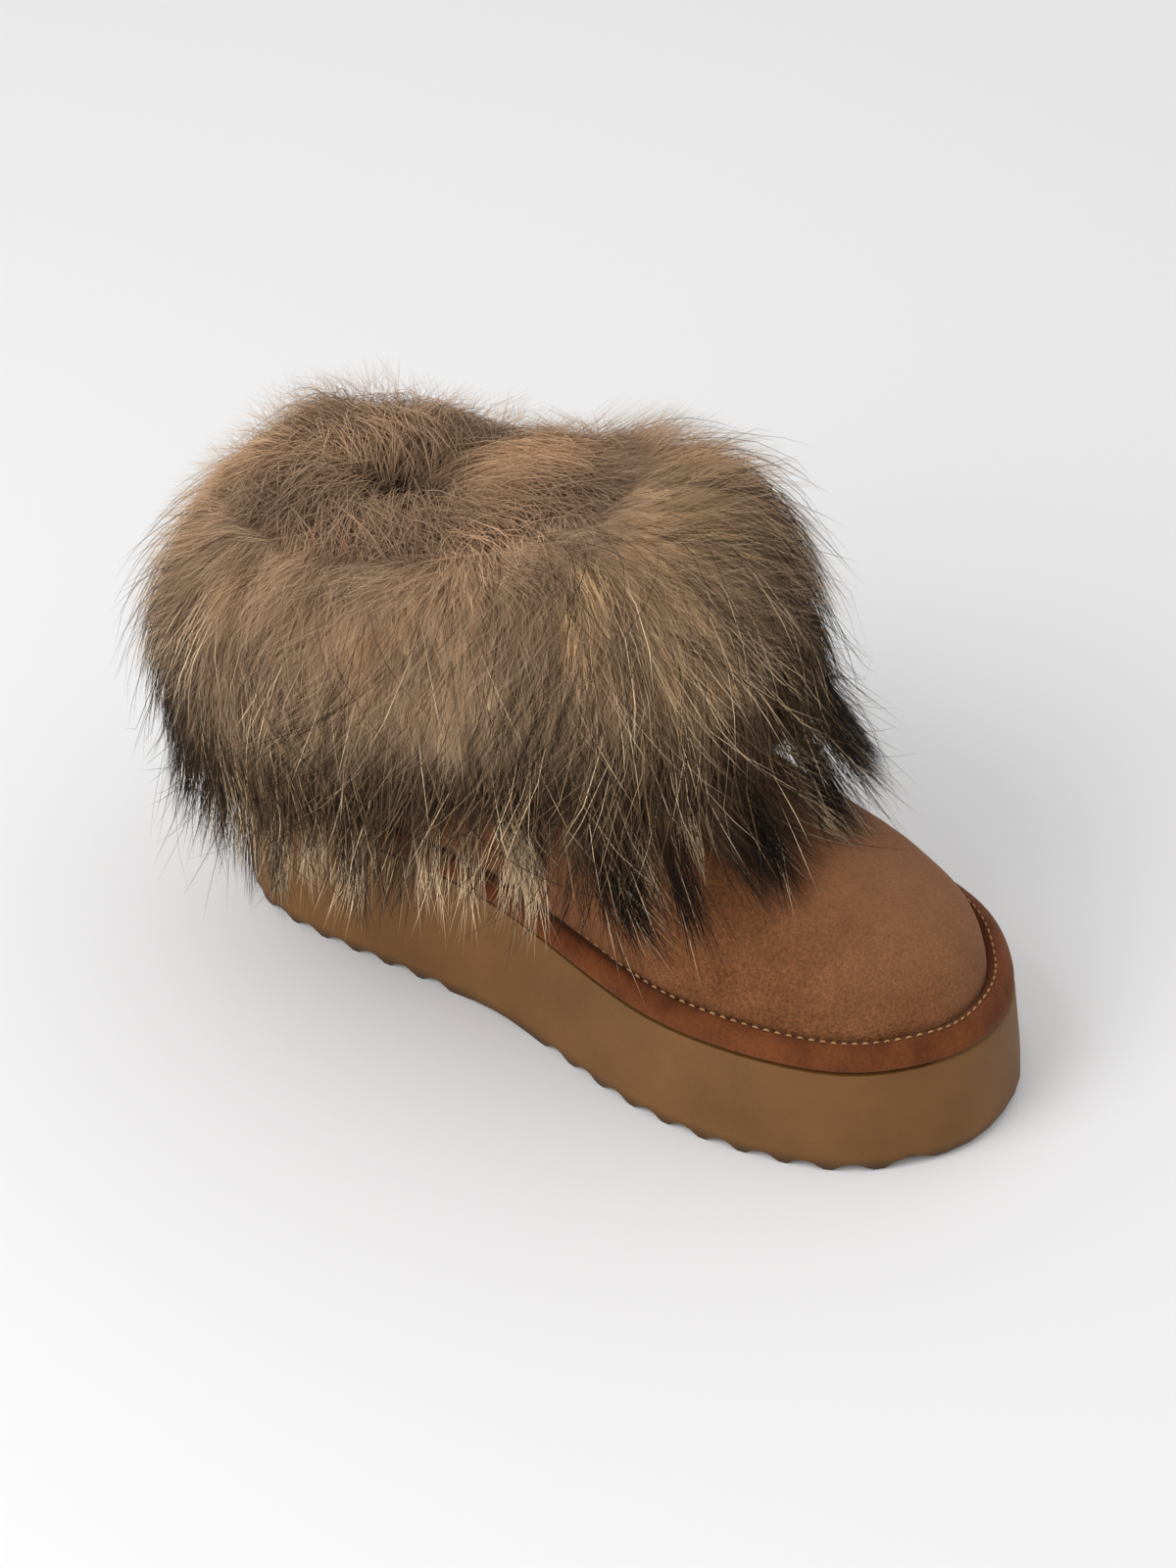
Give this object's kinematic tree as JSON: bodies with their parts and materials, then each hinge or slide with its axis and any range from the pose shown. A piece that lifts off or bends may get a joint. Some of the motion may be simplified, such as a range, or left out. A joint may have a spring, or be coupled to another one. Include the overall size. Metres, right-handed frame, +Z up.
{
  "type": "ankle boot",
  "caption": "Left winter ankle boot: hollow suede upper with a bound rand on a thick moulded platform sole with a barred tread, footbed inside, and a deep long-fur collar round the leg opening.",
  "frame": {"origin": "On the floor, at the centre of the flat foot of the tread bar under the heel seat, 61.3 mm forward of the back of the heel", "axes": "+Z up out of the leg opening, +Y towards the heel and -Y towards the toe, +X towards the outer side of a left foot (the wearer's left)"},
  "size_m": [0.1578, 0.2954, 0.1719],
  "materials": {
    "foam_caramel": "matt moulded foam rubber in caramel brown",
    "suede_rust": "brushed rust-brown suede binding",
    "suede_tan": "tan sheepskin suede with a soft nap",
    "wool_cream": "short cream wool pile",
    "fur_brown": "long beige-brown fur with cream and black tips"
  },
  "bodies": {
    "root": {"sole": "foam_caramel", "rand": "suede_rust", "upper": "suede_tan", "footbed": "wool_cream", "fur_collar": "fur_brown"}
  },
  "joints": []
}
